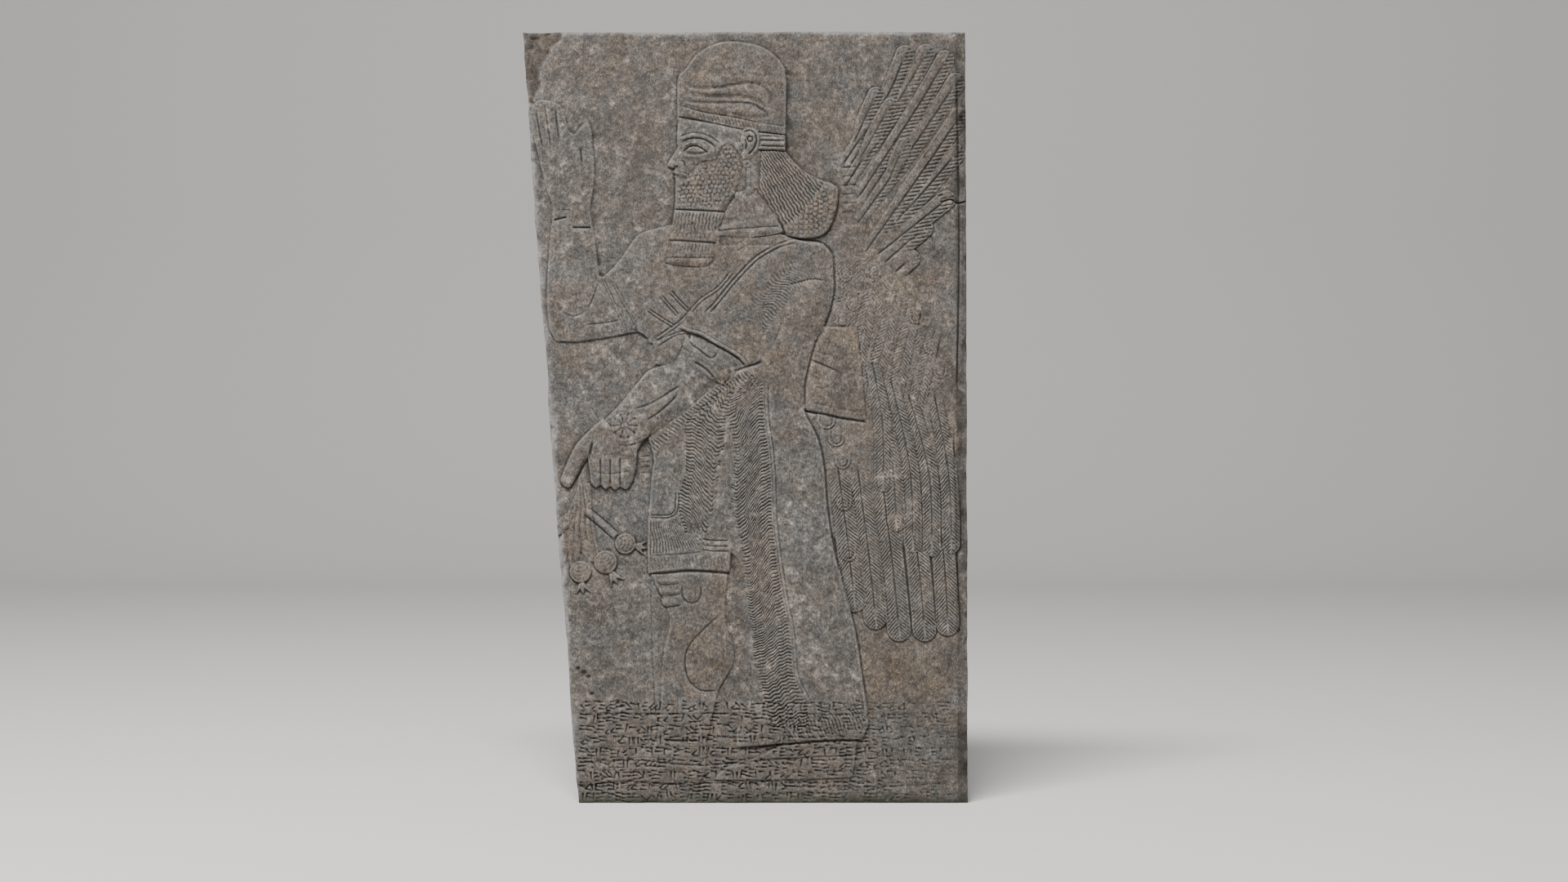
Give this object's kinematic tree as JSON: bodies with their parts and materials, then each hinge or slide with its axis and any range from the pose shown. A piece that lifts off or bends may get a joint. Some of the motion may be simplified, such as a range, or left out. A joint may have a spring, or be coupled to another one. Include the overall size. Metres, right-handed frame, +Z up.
{
  "type": "stone relief panel",
  "caption": "Upright gypsum wall slab carved in low relief with a winged, bearded figure in profile, above and across rows of wedge strokes.",
  "frame": {"origin": "centre of the slab's flat sawn back face, which lies against the wall", "axes": "+Z up, -Y out of the carved face towards the viewer, +Y into the wall, +X to the viewer's right"},
  "size_m": [1.294, 0.129, 2.23],
  "materials": {
    "stone": "weathered gypsum stone, mottled grey and tan, matt, with dark dirt in the cut lines and pale worn edges"
  },
  "bodies": {
    "root": {"relief_slab": "stone"}
  },
  "joints": []
}
